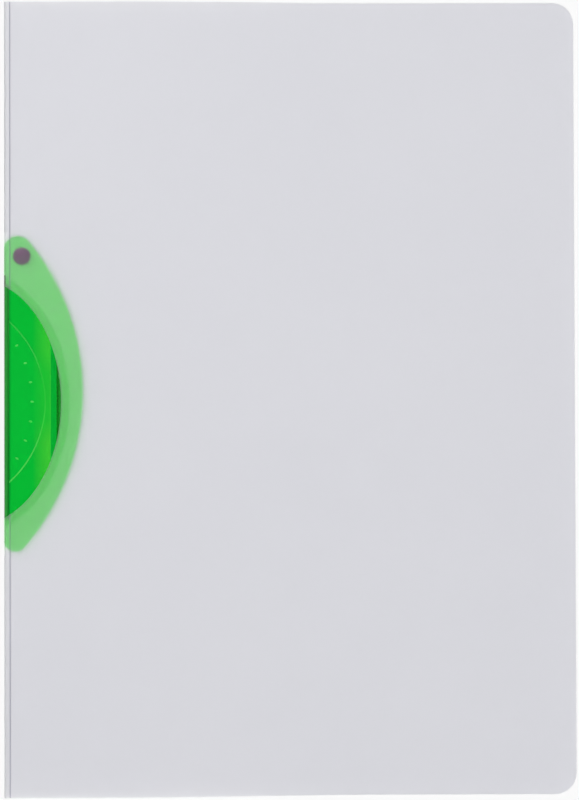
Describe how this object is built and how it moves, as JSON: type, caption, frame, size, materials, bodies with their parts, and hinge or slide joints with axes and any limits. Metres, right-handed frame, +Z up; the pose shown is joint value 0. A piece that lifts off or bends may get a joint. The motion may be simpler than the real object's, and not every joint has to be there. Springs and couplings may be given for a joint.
{
  "type": "clip folder",
  "caption": "Flat A4 folder of frosted sheet with a narrow spine, a half-moon window at the spine, and a crescent clip that swings out on a rivet.",
  "frame": {"origin": "centre of the folder's outline, on the plane that it lies on", "axes": "+X from the spine to the free edge, +Y up the page, +Z up out of the front cover"},
  "size_m": [0.2232, 0.31, 0.0058],
  "materials": {
    "sheet": "frosted",
    "clip": "clear tinted",
    "rivet": "plain"
  },
  "bodies": {
    "folder": {"back_cover": "sheet", "rivet": "rivet"},
    "cover": {"front_cover": "sheet"},
    "clip": {"swing_clip": "clip"}
  },
  "joints": [
    {"name": "clip_swing", "type": "hinge", "parent": "folder", "child": "clip", "pos_m": [-0.10455, 0.0557, 0.0025], "axis": [0, 0, -1], "range_deg": [0, 100]},
    {"name": "cover_open", "type": "hinge", "parent": "folder", "child": "cover", "pos_m": [-0.10905, 0, 0.006], "axis": [0, -1, 0], "range_deg": [0, 180]}
  ]
}
